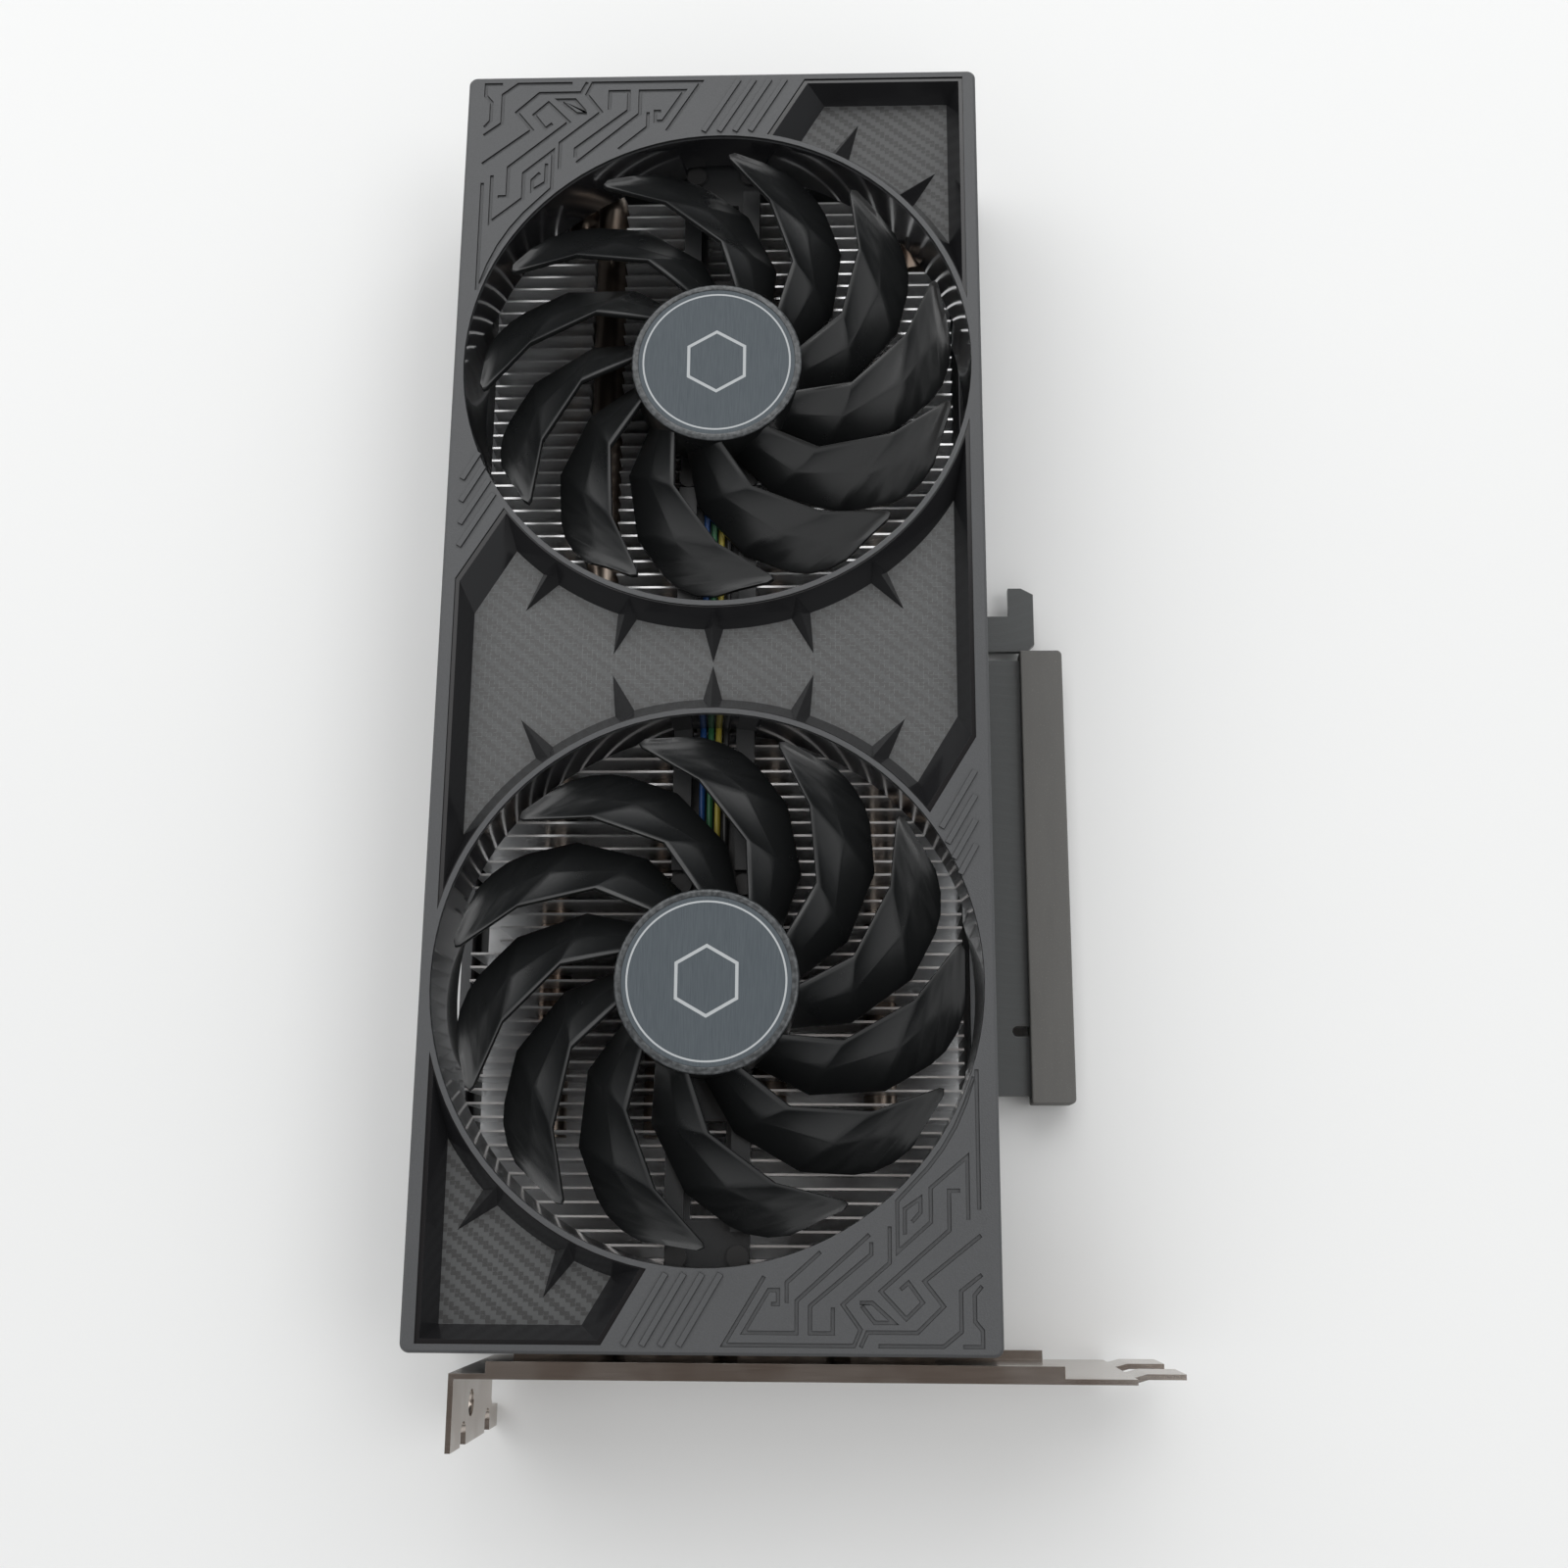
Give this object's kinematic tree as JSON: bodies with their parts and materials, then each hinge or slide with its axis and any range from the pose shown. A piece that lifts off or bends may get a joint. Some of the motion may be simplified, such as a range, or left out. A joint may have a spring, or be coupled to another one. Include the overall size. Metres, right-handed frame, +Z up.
{
  "type": "graphics card",
  "caption": "Dual-slot graphics card with spinning fans in a shroud over a finned heatsink, rear bracket, ports and a pull-off edge-connector cap.",
  "frame": {"origin": "centre of the card's footprint, on the surface it lies on", "axes": "+Z up out of the fan side, +Y from the rear bracket to the far end, +X towards the edge connector"},
  "size_m": [0.1282, 0.2524, 0.0413],
  "materials": {
    "shroud_grey": "fine-grained matte grey plastic, engraved lines",
    "insert_black": "gloss black walls, carbon-twill textured floors",
    "duct_black": "gloss black",
    "fan_black": "satin black plastic",
    "badge": "brushed dark blue-grey foil",
    "frame_black": "black plastic",
    "steel": "bright nickel-plated sheet steel",
    "screw_steel": "zinc-plated steel",
    "black_screw": "black oxide steel",
    "shaft_steel": "ground steel",
    "magnet": "bonded ferrite",
    "brass": "sintered bronze sleeve",
    "copper": "copper windings",
    "pipe": "nickel-plated copper",
    "aluminium": "mill-finish aluminium",
    "board": "black solder mask over glass-epoxy board",
    "gold": "gold-plated contacts",
    "chip": "black epoxy",
    "die": "polished silicon",
    "pad": "soft silicone pad",
    "choke": "pressed ferrite",
    "can": "aluminium can",
    "connector_black": "black nylon",
    "connector_white": "natural nylon",
    "lead_colours": "four insulated leads: black, yellow, green, blue",
    "backplate": "black powder-coated aluminium",
    "cap": "soft dark-grey moulded plastic"
  },
  "bodies": {
    "card": {"shroud": "shroud_grey", "recess_insert_far": "insert_black", "recess_insert_middle": "insert_black", "recess_insert_near": "insert_black", "circuit_board": "board", "edge_contacts": "gold", "gpu_package": "chip", "gpu_die": "die", "memory_chips": "chip", "thermal_pads": "pad", "chokes": "choke", "power_stages": "chip", "capacitors": "can", "power_connector": "connector_black", "power_pins": "gold", "fan_headers": "connector_white", "fan_plugs": "connector_white", "fin_stack_near": "aluminium", "fin_stack_far": "aluminium", "heatsink_base_near": "aluminium", "heatsink_base_far": "aluminium", "heatpipe_left": "pipe", "heatpipe_right": "pipe", "heatpipes_inner": "pipe", "cold_plate": "copper", "display_port_1": "steel", "display_port_2": "steel", "display_port_3": "steel", "hdmi_port": "steel", "port_insulators": "connector_black", "bracket": "steel", "bracket_screws": "screw_steel", "backplate": "backplate", "backplate_screws": "black_screw", "cooler_screws": "screw_steel", "screw_springs": "screw_steel", "fan_bearing_near": "brass", "fan_stator_near": "copper", "fan_frame_near": "frame_black", "fan_screws_near": "black_screw", "fan_duct_near": "duct_black", "fan_leads_near": "lead_colours", "fan_bearing_far": "brass", "fan_stator_far": "copper", "fan_frame_far": "frame_black", "fan_screws_far": "black_screw", "fan_duct_far": "duct_black", "fan_leads_far": "lead_colours"},
    "near_rotor": {"fan_rotor_near": "fan_black", "hub_badge_near": "badge", "fan_shaft_near": "shaft_steel", "magnet_ring_near": "magnet"},
    "far_rotor": {"fan_rotor_far": "fan_black", "hub_badge_far": "badge", "fan_shaft_far": "shaft_steel", "magnet_ring_far": "magnet"},
    "cap": {"connector_cap": "cap"}
  },
  "joints": [
    {"name": "near_fan_spin", "type": "hinge", "parent": "card", "child": "near_rotor", "pos_m": [-0.01496, -0.04995, 0.035], "axis": [0, 0, 1], "continuous": true},
    {"name": "far_fan_spin", "type": "hinge", "parent": "card", "child": "far_rotor", "pos_m": [-0.01496, 0.06545, 0.035], "axis": [0, 0, 1], "continuous": true},
    {"name": "cap_pull", "type": "slide", "parent": "card", "child": "cap", "axis": [1, 0, 0], "range_m": [0, 0.012]}
  ]
}
